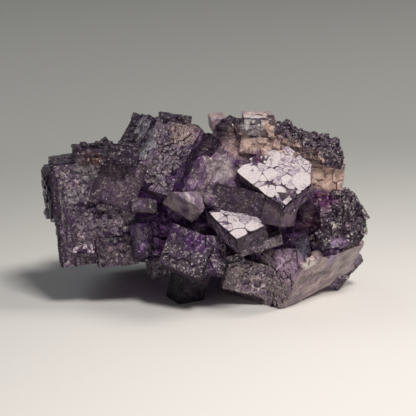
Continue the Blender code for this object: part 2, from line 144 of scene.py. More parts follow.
# Faces with mosaic plates: an edge axis, whether the face is at the near corner or the far end, the usual
# width of a plate and how far it stands out in mm, the share of the plates that is there, and their skin.
PLATED_FACES = {
    # White plates are partly whitish etching and partly painted glare: the light above reflected by plates
    # that face it.
    "glare_cube": [("Z", "near", 1.7, 0.3, 0.95, "white"), ("Y", "near", 2.4, 0.2, 0.6, "violet")],
    "front_cube": [("Z", "near", 1.7, 0.3, 0.95, "white"), ("X", "near", 2.2, 0.3, 0.95, "plum"),
                   ("Y", "near", 3.0, 0.2, 1.0, "wine")],
    "front_fill": [("Y", "near", 2.4, 0.3, 0.7, "plum")],
    "lower_front": [("Y", "near", 2.0, 0.3, 0.85, "stone")],
    "low_front": [("Y", "near", 3.0, 0.2, 0.97, "dusk"), ("X", "near", 3.0, 0.2, 0.7, "dark")],
    "bar_left": [("Y", "near", 3.0, 0.15, 0.8, "grey")],
    "bar_right": [("Y", "near", 2.8, 0.15, 0.8, "grey"), ("Z", "far", 2.6, 0.15, 0.8, "grey")],
    "tall": [("Y", "near", 1.7, 0.15, 0.98, "grey"), ("X", "near", 3.0, 0.2, 0.6, "violet")],
    "tall_left": [("Y", "near", 2.4, 0.3, 0.7, "dark"), ("X", "near", 2.4, 0.3, 0.7, "dark")],
    "left_glint": [("Z", "near", 1.1, 0.25, 0.7, "white")],
    "glow_step": [("Y", "near", 2.2, 0.4, 0.8, "mottled"), ("X", "near", 2.2, 0.4, 0.8, "mottled")],
    # Painted shade: the dark plates on the left faces (X near) of left_block and left_side darken the side
    # turned from the lights.
    "left_block": [("Y", "near", 2.8, 0.3, 0.75, "mottled"), ("X", "near", 2.0, 0.7, 0.7, "dark"),
                   ("Z", "far", 3.0, 0.2, 0.8, "dark")],
    "left_side": [("X", "near", 2.0, 0.7, 0.7, "dark"), ("Y", "near", 2.2, 0.3, 0.7, "mottled")],
    "left_low": [("Y", "near", 2.6, 0.25, 0.8, "smooth")],
    "lower_block": [("Y", "near", 2.0, 0.25, 0.9, "stone")],
    "right_lobe": [("Y", "near", 2.6, 0.3, 0.85, "dark")],
    "right_shoulder": [("Y", "near", 2.4, 0.3, 0.8, "dark")],
    "top_cube": [("Y", "near", 2.2, 0.3, 0.7, "cream"), ("Z", "far", 2.6, 0.3, 0.8, "cream"),
                 ("X", "far", 3.0, 0.15, 0.9, "tan")],
    "tan_block": [("Y", "near", 3.4, 0.2, 0.35, "tan")],
    "tan_shelf": [("Y", "near", 3.0, 0.25, 0.5, "clear")],
    "tan_cap": [("Y", "near", 3.4, 0.25, 0.7, "tan")],
    "right_strip": [("Y", "near", 1.8, 0.4, 0.8, "mottled"), ("X", "far", 1.8, 0.5, 0.8, "mottled")],
    "back_left": [("Y", "far", 3.6, 0.35, 0.85, "mottled"), ("Z", "far", 4.0, 0.3, 0.85, "mottled"),
                  ("X", "near", 3.6, 0.3, 0.7, "dark")],
    "back_low": [("Y", "far", 3.6, 0.35, 0.85, "grey"), ("Z", "far", 3.8, 0.3, 0.85, "grey"),
                 ("X", "near", 4.0, 0.3, 0.7, "dark")],
    "back_high": [("Y", "far", 3.6, 0.35, 0.85, "grey"), ("Z", "far", 3.8, 0.3, 0.85, "grey")],
    "back_middle": [("Y", "far", 3.4, 0.35, 0.85, "mottled"), ("X", "far", 4.0, 0.3, 0.7, "mottled")],
    "back_right": [("Y", "far", 3.8, 0.35, 0.85, "grey"), ("Z", "far", 3.8, 0.3, 0.85, "stone")],
    "back_ridge": [("Z", "far", 3.4, 0.3, 0.85, "smooth"), ("Y", "far", 3.8, 0.3, 0.85, "smooth")],
    "back_crest": [("Z", "far", 3.4, 0.3, 0.7, "dark"), ("Y", "far", 3.8, 0.3, 0.7, "dark")],
    "back_shoulder": [("Z", "far", 3.4, 0.3, 0.85, "mottled"), ("Y", "far", 3.8, 0.3, 0.85, "mottled")],
    "back_step": [("Y", "far", 3.0, 0.3, 0.8, "mottled")],
    "back_corner": [("Y", "far", 3.4, 0.3, 0.8, "mottled")],
    "back_end": [("X", "far", 3.4, 0.4, 0.8, "mottled")],
}

# On the white faces, in mm along the face's two edges: the middles and radii of the largest plates, and
# of the places where there are none.
LARGE_PLATES = {
    "glare_cube": [(1.8, 15.5, 3.3), (10.8, 15.9, 3.2), (10.9, 2.9, 2.8), (6.0, 11.1, 1.9), (8.4, 6.4, 1.5),
                   (3.6, 11.9, 1.3), (0.6, 8.4, 1.1), (2.0, 6.4, 1.1), (3.4, 4.8, 1.1)],
    "front_cube": [(7.3, 2.2, 1.9), (1.8, 2.0, 1.9), (4.3, 8.6, 1.5), (1.2, 12.4, 1.3), (3.6, 5.0, 1.4)],
}
PLATE_GAPS = {"glare_cube": [(0.0, 0.0, 8.0), (6.4, 18.9, 3.4)]}

# Faces with small cubes standing on them: axis, end, the cube's usual edge in mm, and the share that is
# covered.
SMALL_CUBES = {
    "recess": [("Y", "near", 3.0, 0.6)],
    "core_middle": [("Y", "near", 4.0, 0.6)],
    "core_left": [("Y", "near", 4.0, 0.5)],
    "core_right": [("Y", "near", 3.0, 0.6)],
    "core_top": [("Y", "near", 3.0, 0.6)],
    "right_lobe": [("Y", "near", 1.9, 0.35), ("Z", "far", 1.6, 0.8), ("X", "near", 1.6, 0.5)],
    "right_shoulder": [("Y", "near", 1.8, 0.5), ("Z", "far", 1.6, 0.8), ("X", "far", 1.7, 0.8)],
    "left_back": [("Y", "near", 1.8, 0.35), ("Z", "far", 1.8, 0.3)],
    "crust": [("Z", "far", 1.9, 0.75), ("X", "far", 1.8, 0.7), ("Y", "near", 1.6, 0.7)],
    "tall_back": [("Z", "far", 1.8, 0.6), ("Y", "near", 1.6, 0.4)],
    "tall_left": [("Z", "far", 1.5, 0.5)],
    "right_strip": [("X", "far", 1.7, 0.5)],
    "lower_block": [("Z", "near", 2.4, 0.7)],
    "tan_shelf": [("Z", "far", 1.8, 0.8), ("Y", "near", 1.8, 0.3)],
    "top_dark": [("Z", "near", 1.6, 0.4)],
    "top_small": [("Z", "far", 1.8, 0.4)],
    "back_end": [("Z", "far", 1.8, 0.6), ("Y", "far", 1.8, 0.4)],
    "back_crest": [("Z", "far", 1.7, 0.4)],
}

# Crystals whose own faces are broken or stepped: how deep the breaks are, by the grid's spacing, in mm.
BROKEN = {
    1.2: {"centre_step": 0.25, "left_back": 0.7},
    1.3: {"centre": 1.3, "wall_left": 0.5},
    1.5: {"front_wall": 0.15, "glow_step": 0.5, "front_fill": 0.5, "lower_front": 0.35, "purple_band": 0.6,
          "recess": 0.8, "lower_block": 0.35, "slab": 0.15, "tan_cap": 0.5, "tan_shelf": 0.4,
          "wine_cube": 0.3, "purple_step": 0.3, "blue_cube": 0.3, "low_dark": 0.4, "low_left": 0.4,
          "pink_step": 0.3, "small_step": 0.2, "tall_back": 0.5, "tall_knob": 0.4, "top_dark": 0.4,
          "top_red": 0.4, "right_end": 0.5},
    1.6: {"right_lobe": 0.5, "right_strip": 0.4},
    2.0: {"tan_block": 0.3, "foot_back": 0.6, "foot_right": 0.6},
    2.5: {"core_middle": 0.8, "core_left": 0.8, "core_right": 0.8, "core_top": 0.5},
}

# Patches of colour in and on the crystals, some of them painted light, shade or glints: the middle and the
# radius in mm, the tone, and its strength.
ZONES = {
    "lower glow": ((23.4, -15.5, 15.0), 7.0, "glow", 0.85),
    "lower left": ((8.0, -5.5, 9.0), 3.5, "lilac", 0.6),
    "lower violet": ((37.0, -5.5, 15.8), 5.5, "lilac", 0.8),
    "lobe foot": ((40.0, -9.5, 18.8), 4.5, "lilac", 0.9),
    "blue face": ((28.8, -13.1, 19.6), 4.5, "blue", 0.9),
    "pink facet": ((30.2, -15.7, 15.1), 2.4, "cream", 0.9),
    # Painted glints at the top left of the right lobe.
    "lobe glints": ((34.5, -10.3, 30.2), 3.0, "ash", 0.6),
    "magenta": ((35.3, -8.3, 34.0), 5.0, "magenta", 1.0),
    "cream corner": ((27.9, -9.8, 31.0), 2.4, "cream", 0.9),
    "tan left": ((9.8, -1.7, 50.2), 6.5, "tan", 0.7),
    "tan middle": ((16.5, -0.9, 50.3), 7.0, "tan", 0.9),
    "tan right": ((24.9, -3.5, 47.9), 5.0, "tan", 0.8),
    "tan top": ((31.8, -2.0, 44.3), 4.5, "tan", 0.9),
    "tan face": ((36.1, 0.9, 37.9), 5.0, "tan", 0.9),
    "tan light": ((35.5, 1.2, 37.0), 6.0, "tan", 1.0),
    "top pale": ((14.0, -2.5, 55.6), 5.0, "ash", 0.85),
    # Painted warm light on the right side of top_cube, where the light from the right falls.
    "top edge warm light": ((19.2, -2.0, 54.8), 2.3, "tan", 0.9),
    "rib high": ((-19.2, 7.5, 52.0), 4.0, "cool", 0.95),
    "rib low": ((-19.8, 3.0, 46.0), 4.0, "cool", 0.95),
    "dark shoulder": ((-26.0, 3.5, 51.0), 4.5, "black", 0.8),
    # Painted warm light on top_cube's right side.
    "side warm light": ((19.7, -1.7, 55.2), 2.0, "tan", 0.9),
    "veil": ((4.0, -6.2, 42.5), 5.5, "cream", 0.35),
    "brown veil": ((-0.3, -5.8, 48.4), 3.5, "brown", 0.6),
    "upper purple": ((-0.9, -0.6, 51.8), 4.5, "violet", 0.8),
    "band": ((-8.5, -8.8, 39.8), 5.0, "violet", 0.8),
    "band top": ((-4.0, -6.5, 47.0), 4.0, "violet", 0.8),
    "recess purple": ((-13.0, -8.0, 24.0), 8.0, "violet", 0.6),
    "purple wisp": ((15.2, -3.9, 46.4), 2.5, "magenta", 0.6),
    "left veil": ((-37.5, -9.9, 43.5), 5.0, "ash", 0.55),
    "left light": ((-41.0, -10.6, 35.6), 4.0, "ash", 0.4),
    "left pink": ((-40.1, -9.8, 40.7), 1.3, "pink", 0.8),
    "left pink low": ((-33.7, -10.6, 23.9), 1.5, "pink", 0.8),
    "left pink foot": ((-30.3, -12.6, 18.8), 1.3, "pink", 0.8),
    # Painted shade on the left side of the left block, turned from the lights.
    "left side shade": ((-48.3, -5.8, 31.1), 4.0, "black", 0.6),
    # The left step's brown is partly its own brown tint and partly a painted orange reflection from inside
    # it.
    "left brown reflection": ((-34.7, -11.6, 46.7), 4.5, "brown", 0.7),
    "wine face": ((31.5, -10.5, 28.0), 6.5, "wine", 0.9),
    "tall warm": ((-7.0, 0.7, 53.1), 7.0, "tan", 0.45),
    "tall dark": ((-6.1, -6.1, 46.0), 2.5, "black", 0.7),
    "tall lilac": ((-17.0, -7.0, 35.6), 4.0, "lilac", 0.4),
    "step light": ((-19.9, -12.1, 32.6), 3.0, "lilac", 0.3),
    "recess streak": ((-19.7, -12.9, 20.2), 1.5, "lilac", 0.9),
    "front light": ((2.7, -11.5, 22.3), 2.5, "lilac", 0.6),
    "front speck": ((4.2, -17.1, 27.2), 2.5, "lilac", 0.6),
    "front purple": ((-3.0, -14.0, 22.0), 5.5, "violet", 0.7),
    # Painted light and shade on the cleavage face: paler towards its upper right and darker low down near the
    # floor.
    "cleaved painted light": ((43.0, 0.3, 10.8), 7.0, "cream", 0.5),
    "cleaved painted shade": ((27.1, -10.3, 2.0), 4.5, "slate", 0.7),
}

AXES = "XYZ"
# Small cubes are set in four rounds, each in every second cell both ways. This is each round's first cell.
CUBE_SHIFTS = ((0, 0), (1, 0), (0, 1), (1, 1))
# Each layer of plates: the part of them that is there, their width for one of the first, their rise in mm.
PLATE_LAYERS = ((1.0, 1.0, 0.0), (0.2, 0.5, 0.08))
# What a face's plate value means to the material: a bare face, the floor between plates, a plate's side,
# and from the last of them to 1 a plate's top, paler as it rises.
BARE, UNDER_PLATES, PLATE_SIDE, PLATE_TOP = 0.0, 0.2, 0.4, 0.6
# Skins whose plates are parted by dark grooves.
MARKED = ("grey", "slate", "cream", "dusk")

# Widths in mm of the noise that shapes a crystal. Where there are two, the second is added by a share.
CHIP_WIDTH, LEDGE_WIDTH, BEND_WIDTH = 3.0, 4.0, 9.0
WAVE_WIDTHS, CREASE_WIDTHS, RIPPLE_WIDTHS = (5.0, 2.2), (6.0, 2.6), (8.0, 3.5)
FINER_WAVE, FINER_RIPPLE = 0.5, 0.4
# About the middle of the noise that is folded into creases and into ripples.
CREASE_MIDDLE, RIPPLE_MIDDLE = 0.35, 0.3
# A break's ledges: their height for one of the creases', and into how many steps a unit of noise is cut.
LEDGE_SHARE, LEDGE_STEPS = 0.6, 2.5
# How far an unchipped edge is set back, for one of the rim's width.
WORN_SHARE = 0.4
# How many grid lines a rippled break has each way.
RIPPLE_LINES = 61

# How plates are spread on a face: how far every other row is moved along and how far a middle may move by
# chance, in widths of a plate; the part left out; how near a side it may come, for one of the face's
# width; and the power that sets plates wider apart near the corner.
ROW_SHIFT, SPOT_MOVE, SPOT_LOST, SPOT_RIM, SPOT_POWER = 0.5, 0.27, 0.15, 0.02, 0.8
# How far small plates keep from the rim of a large one, for one of their widths.
LARGE_ROOM = 0.35
# Lines whose directions differ by less count as parallel, and a line this far off in mm bounds nothing.
PARALLEL, UNBOUND = 1e-3, 1e6
# The least and the greatest groove for one of the usual.
GROOVE_RANGE = (0.3, 1.4)
# The least radius of a plate, and the least that its sides stand from its middle and its top from its
# face, in mm; and the most that a corner stands from its middle, for one of its sides and more in mm.
LEAST_PLATE, LEAST_RISE = 0.35, 0.05
LONGEST_SHARE, LONGEST_MORE = 1.3, 0.6
# A placed white plate is rounded to this share of its radius and this much more in mm.
ROUND_SHARE, ROUND_MORE = 1.1, 0.7
# In the ragged strip: the part of the plates that stays, their tilt for one of the usual, and how much
# wider than the usual a plate may be in mm.
RAGGED_SHARE, RAGGED_TILT, RAGGED_MORE = 0.75, 5, 0.5
# How much plates differ in height, and below or above which chance one is lower or higher, and by what.
HEIGHT_SPREAD = 0.2
LOW_CHANCE, LOW_BY = 0.12, 0.5
HIGH_CHANCE, HIGH_BY = 0.94, 0.6
# Noise that sways grooves, a face's slices of it set apart, and noise that lifts groups of plates by steps.
SWAY_WIDTH, SWAY_APART = 3.2, 7.0
TERRACE_WIDTH, TERRACE_PLACE, TERRACE_STEPS = 6.0, 5.0, 3
# The most that a small placed white plate is paler than its skin, and the least that a large one is.
SMALL_TINT, LARGE_TINT = 0.5, 0.85

# Small cubes, for one of their usual edge: the cell that one stands in, its least and greatest edge with a
# power that favours small ones, where in its cell it stands, how far it stands out, its turn in radians.
CUBE_CELL = 1.15
CUBE_EDGE, CUBE_POWER = (0.5, 1.25), 1.2
CUBE_PLACE, CUBE_RISE = (0.25, 0.75), (-0.1, 0.3)
CUBE_TURN = 0.35

# The material: fluorite's refractive index, the tint of its clear surface, the depth of its finest relief
# in m, and how far noise moves the patches of colour, in mm.
FLUORITE_IOR = 1.434
CLEAR_COLOUR = (0.93, 0.88, 0.97, 1.0)
BUMP_DEPTH = 0.0002
WANDER = 6.0

# The stage: half the floor's width in m, and the room's colour and brightness.
FLOOR_HALF = 4.0
ROOM_COLOUR, ROOM_STRENGTH = (0.5, 0.51, 0.52, 1.0), 0.21
# The camera's sensor in mm.
SENSOR_WIDTH = 36.0
# Soft square lights: the azimuth from +Y towards +X and the elevation in degrees, the distance and the
# width in m, the power in W, and the colour.
LIGHTS = {
    "key": (150, 60, 1.2, 0.3, 11.0, (1.0, 0.97, 0.94)),
    "window": (85, 40, 1.4, 0.4, 9.0, (1.0, 0.92, 0.84)),
    "sky": (-60, 50, 1.6, 1.0, 3.0, (0.87, 0.94, 1.0)),
}


def hashed(cells, seed):
    """An even random value from 0 to 1 for each whole-numbered cell: its numbers are mixed by multiplying
    by large odd numbers, shifting and exclusive or."""
    x, y, z = np.moveaxis(cells.astype(np.int64).astype(np.uint32), -1, 0)
    mixed = x * np.uint32(374761393) + y * np.uint32(668265263)
    mixed = mixed + z * np.uint32(2246822519) + np.uint32(seed * 3266489917 % 2**32)
    mixed = (mixed ^ (mixed >> np.uint32(13))) * np.uint32(1274126177)
    return (mixed ^ (mixed >> np.uint32(16))).astype(np.float64) / 2**32


def smooth_noise(points, width, seed):
    """Noise from -1 to 1: random values on a cubic lattice of that width, blended between the eight
    lattice points round each point with the weight 3t^2 - 2t^3 along each axis."""
    scaled = points / width
    low = np.floor(scaled)
    part = scaled - low
    ease = part * part * (3 - 2 * part)
    total = np.zeros(points.shape[:-1])
    for corner in np.ndindex(2, 2, 2):
        offset = np.array(corner)
        weight = np.prod(np.where(offset == 1, ease, 1 - ease), axis=-1)
        total += weight * hashed(low + offset, seed)
    return total * 2 - 1


class Skin:
    """What a crystal's faces tell the material: how frosted, warm, pale, purple, dark and gritty they
    are, from 0 to 1, or more where it is strong. Paler than 1 makes the tops of plates white, partly a
    whitish etching and partly painted glare of the light above."""

    def __init__(self, frost, warm, pale, purple, dark, grit):
        self.look = np.array([frost, warm, pale])
        self.tone = np.array([purple, dark])
        self.grit = grit


SKINS = {
    "grey": Skin(frost=0.95, warm=0.08, pale=0.35, purple=0.15, dark=0.05, grit=1.0),
    "dusk": Skin(frost=0.95, warm=0.1, pale=0.2, purple=0.35, dark=0.8, grit=0.8),
    # The black skin, on low_dark, is painted shade under low_front.
    "black": Skin(frost=0.95, warm=0.0, pale=0.0, purple=0.1, dark=1.6, grit=0.2),
    "slate": Skin(frost=0.95, warm=0.0, pale=0.3, purple=0.05, dark=0.0, grit=0.3),
    "smooth": Skin(frost=0.95, warm=0.3, pale=0.05, purple=0.3, dark=0.78, grit=0.5),
    "mottled": Skin(frost=0.9, warm=0.1, pale=0.35, purple=0.6, dark=0.1, grit=1.0),
    "clear": Skin(frost=0.75, warm=0.2, pale=0.65, purple=0.7, dark=0.0, grit=0.4),
    "facet": Skin(frost=0.85, warm=0.1, pale=0.8, purple=0.1, dark=0.1, grit=0.15),
    "cleaved": Skin(frost=0.85, warm=0.3, pale=0.95, purple=0.0, dark=0.1, grit=0.2),
    "stone": Skin(frost=0.95, warm=0.15, pale=0.95, purple=0.3, dark=0.0, grit=1.0),
    # The white skin paints glare: partly whitish etching, partly the light above reflected by the plates.
    "white": Skin(frost=1.0, warm=0.15, pale=2.0, purple=0.0, dark=0.0, grit=0.12),
    "purple": Skin(frost=0.35, warm=0.0, pale=0.1, purple=1.0, dark=0.2, grit=0.4),
    "plum": Skin(frost=0.9, warm=0.0, pale=0.25, purple=0.9, dark=0.15, grit=0.9),
    "green": Skin(frost=0.95, warm=0.15, pale=0.2, purple=0.0, dark=0.5, grit=0.2),
    "violet": Skin(frost=0.6, warm=0.0, pale=0.4, purple=1.0, dark=0.0, grit=0.4),
    "wine": Skin(frost=0.6, warm=0.1, pale=0.0, purple=0.3, dark=0.6, grit=0.4),
    "dark": Skin(frost=0.8, warm=0.1, pale=0.0, purple=0.4, dark=1.05, grit=0.7),
    "drusy": Skin(frost=0.85, warm=0.1, pale=0.3, purple=0.3, dark=0.7, grit=1.5),
    "tan": Skin(frost=1.0, warm=2.0, pale=1.0, purple=0.0, dark=0.0, grit=0.45),
    # The cream skin's warmth is partly painted warm light from the right on the small pale cubes at the top.
    "cream": Skin(frost=0.95, warm=0.4, pale=1.0, purple=0.0, dark=0.0, grit=0.5),
}


def new_mesh(name, points, faces, place, reach, skin, plate):
    """A mesh from points and rows of point numbers, with what the material reads on it: place, the point
    in the crystal's own frame in mm; reach, the crystal's edge lengths; and the crystal's skin on every
    face."""
    mesh = bpy.data.meshes.new(name)
    count, sides = faces.shape
    corners = faces.ravel().astype(np.int32)
    mesh.vertices.add(len(points))
    mesh.vertices.foreach_set("co", points.ravel())
    mesh.loops.add(len(corners))
    mesh.loops.foreach_set("vertex_index", corners)
    mesh.polygons.add(count)
    mesh.polygons.foreach_set("loop_start", np.arange(0, len(corners), sides, dtype=np.int32))
    mesh.update(calc_edges=True)
    mesh.attributes.new("place", "FLOAT_VECTOR", "CORNER").data.foreach_set("vector", place[corners].ravel())
    look, tone = np.tile(skin.look, (count, 1)), np.tile(skin.tone, (count, 1))
    rows = {"reach": np.tile(np.abs(reach), (count, 1)), "look": look,
            "tone": np.column_stack([tone, np.broadcast_to(plate, count)])}
    for key, values in rows.items():
        mesh.attributes.new(key, "FLOAT_VECTOR", "FACE").data.foreach_set("vector", values.ravel())
    mesh.attributes.new("grit", "FLOAT", "FACE").data.foreach_set("value", np.full(count, skin.grit))
    return mesh


def edge_lines(length, spacing, rim):
    """Grid lines along an edge: even steps, with one line close to each end for the worn rim."""
    count = max(2, round(abs(length) / spacing))
    inner = np.linspace(0, abs(length), count + 1)[1:-1]
    lines = np.concatenate([[0, rim], inner, [abs(length) - rim, abs(length)]])
    return np.sign(length) * lines


def box_skin(edges, lines):
    """A closed box of six grids: a point is (x, y, z) with two of them running over the grid lines and
    the third held at an end. Points shared by two grids are made one. Gives the points, the faces, each
    point's sides and each face's grid."""
    keys, faces, which, start = [], [], [], 0
    turned = np.prod(np.sign(edges)) < 0
    for axis in range(3):
        across, along = [i for i in range(3) if i != axis]
        i, j = np.meshgrid(np.arange(len(lines[across])), np.arange(len(lines[along])), indexing="ij")
        number = np.arange(i.size).reshape(i.shape)
        first = np.stack([number[:-1, :-1], number[1:, :-1], number[1:, 1:]], axis=-1)
        second = np.stack([number[:-1, :-1], number[1:, 1:], number[:-1, 1:]], axis=-1)
        triangles = np.concatenate([first.reshape(-1, 3), second.reshape(-1, 3)])
        for end in (0, len(lines[axis]) - 1):
            key = np.empty((*i.shape, 3), int)
            key[..., across], key[..., along], key[..., axis] = i, j, end
            keys.append(key.reshape(-1, 3))
            outward = (end > 0) ^ (axis == 1) ^ turned
            faces.append((triangles if outward else triangles[:, ::-1]) + start)
            which.append(np.full(len(triangles), 2 * axis + (end > 0)))
            start += i.size
    keys = np.concatenate(keys)
    unique, number = np.unique(keys, axis=0, return_inverse=True)
    points = np.stack([lines[axis][unique[:, axis]] for axis in range(3)], axis=-1)
    last = np.array([len(line) - 1 for line in lines])
    sides = (unique == last).astype(float) - (unique == 0)
    return points, number.reshape(-1)[np.concatenate(faces)], sides, np.concatenate(which)


def crystal_body(name, edges, settings):
    """The crystal's box with its sides raised and sunk: broken faces by smooth noise whose size is taken
    without its sign, which leaves creases, and all of them by a little smooth noise. Its edges are worn
    and chipped, and the whole is bent a little by noise of a larger scale. Gives the points, the faces,
    each point's place in the straight box and each face's plate value."""
    spacing, depth = settings.body_step, 0.0
    for step, depths in BROKEN.items():
        if name in depths:
            spacing, depth = step, depths[name]
    place, faces, sides, which = box_skin(edges, [edge_lines(edge, spacing, settings.rim) for edge in edges])
    seed = sum(map(ord, name))

    def noise(width, number):
        return smooth_noise(place, width, seed + number)

    wear = settings.rim * WORN_SHARE + np.maximum(noise(CHIP_WIDTH, 0), 0) ** 2 * settings.chip
    wave = settings.wave * (noise(WAVE_WIDTHS[0], 1) + FINER_WAVE * noise(WAVE_WIDTHS[1], 2))
    creases = np.abs(noise(CREASE_WIDTHS[0], 7)) + FINER_WAVE * np.abs(noise(CREASE_WIDTHS[1], 8))
    ledges = np.round(LEDGE_STEPS * noise(LEDGE_WIDTH, 9)) / LEDGE_STEPS
    wave = wave + depth * (CREASE_MIDDLE - creases + LEDGE_SHARE * ledges)
    on_edge = np.abs(sides).sum(axis=1) > 1
    points = place + sides * np.sign(edges) * np.where(on_edge, -wear, wave)[:, None]
    points = points + settings.bend * np.stack([noise(BEND_WIDTH, 3 + axis) for axis in range(3)], axis=-1)
    plated = [2 * AXES.index(face[0]) + (face[1] == "far") for face in PLATED_FACES.get(name, ())
              if face[-1] in MARKED]
    return points, faces, place, np.where(np.isin(which, plated), UNDER_PLATES, BARE)


def face_axes(edges, axis, end):
    """The face's axis number, its height along that axis, which way is out, and its two edges."""
    number = AXES.index(axis)
    height = 0.0 if end == "near" else edges[number]
    outward = math.copysign(1.0, edges[number]) * (-1.0 if end == "near" else 1.0)
    return number, height, outward, [i for i in range(3) if i != number]


def plate_spots(width, length, usual, large, gaps, draw):
    """The middles and radii of plates on a rectangle: a square lattice with every other row moved along
    by half a step, each point moved about by chance and some left out, so that their neighbours grow
    larger. Its shares of the sides are raised to a power below 1, which sets the points wider apart near
    the corner. Points inside a large plate or a gap are dropped."""
    columns, rows = max(1, round(width / usual)), max(1, round(length / usual))
    i, j = np.meshgrid(np.arange(columns) + 0.5, np.arange(rows) + 0.5, indexing="ij")
    i = i + np.where(np.arange(rows) % 2, ROW_SHIFT / 2, -ROW_SHIFT / 2)
    spots = np.stack([i.ravel(), j.ravel()], axis=-1) + draw.uniform(-SPOT_MOVE, SPOT_MOVE, (i.size, 2))
    kept = draw.random(len(spots)) > SPOT_LOST
    kept[0] = True
    spots = np.clip(spots[kept] / (columns, rows), SPOT_RIM, 1 - SPOT_RIM) ** SPOT_POWER * (width, length)
    sizes = np.full(len(spots), usual / 2)
    if large:
        large = np.array(large)
        circles = np.concatenate([large + (0, 0, LARGE_ROOM * usual), np.array(gaps or [(0, 0, 0)])])
        away = np.linalg.norm(spots[:, None] - circles[None, :, :2], axis=-1)
        clear = (away > circles[:, 2]).all(axis=1)
        spots = np.concatenate([large[:, :2], spots[clear]])
        sizes = np.concatenate([large[:, 2], sizes[clear]])
    return spots, sizes


def plate_outlines(spots, sizes, width, length, draw, settings):
    """Outlines of the plates round their middles. A plate is bounded by the rectangle's sides and by its
    lines towards its neighbours, at (distance squared + its radius squared - theirs) / (2 distance),
    moved in by half a groove. Along each of a ring of directions the nearest line is found; each corner
    is where the lines of two directions cross, or lies on the line that both share."""
    count = len(spots)
    ring = np.arange(settings.plate_corners)
    angles = (ring + draw.random((count, 1))) * 2 * np.pi / len(ring)
    way = np.stack([np.cos(angles), np.sin(angles)], axis=-1)
    between = spots[None] - spots[:, None]
    apart = np.linalg.norm(between, axis=-1)
    apart[np.diag_indices(count)] = np.inf
    walls = np.tile([[1.0, 0.0], [0.0, 1.0], [-1.0, 0.0], [0.0, -1.0]], (count, 1, 1))
    normals = np.concatenate([between / apart[..., None], walls], axis=1)
    sides = np.concatenate([np.array([width, length]) - spots, spots], axis=1)
    halfway = apart / 2 + (sizes[:, None] ** 2 - sizes[None] ** 2) / (2 * apart)
    offsets = np.concatenate([halfway, sides], axis=1)
    offsets[~np.isfinite(offsets)] = UNBOUND
    cosine = np.einsum("nkc,ndc->ndk", normals, way)
    reach = np.where(cosine > PARALLEL, offsets[:, None] / np.maximum(cosine, PARALLEL), UNBOUND)
    nearest = reach.argmin(axis=2)
    groove = draw.uniform(*GROOVE_RANGE, (count, 1)) * settings.groove / 2
    line = np.take_along_axis(normals, nearest[..., None], axis=1)
    offset = np.maximum(np.take_along_axis(offsets, nearest, axis=1) - groove, LEAST_RISE)
    after, beyond = np.roll(line, -1, axis=1), np.roll(offset, -1, axis=1)
    cross = line[..., 0] * after[..., 1] - line[..., 1] * after[..., 0]
    corner = np.stack([offset * after[..., 1] - beyond * line[..., 1],
                       line[..., 0] * beyond - after[..., 0] * offset], axis=-1)
    middle = way + np.roll(way, -1, axis=1)
    on_line = middle * (offset / (middle * line).sum(axis=-1).clip(PARALLEL))[..., None]
    meets = np.abs(cross) > PARALLEL
    points = np.where(meets[..., None], corner / np.where(meets, cross, 1)[..., None], on_line)
    most = LONGEST_SHARE * np.maximum(offset, beyond) + LONGEST_MORE
    size = np.linalg.norm(points, axis=-1)
    return points * np.minimum(1, most / size)[..., None]


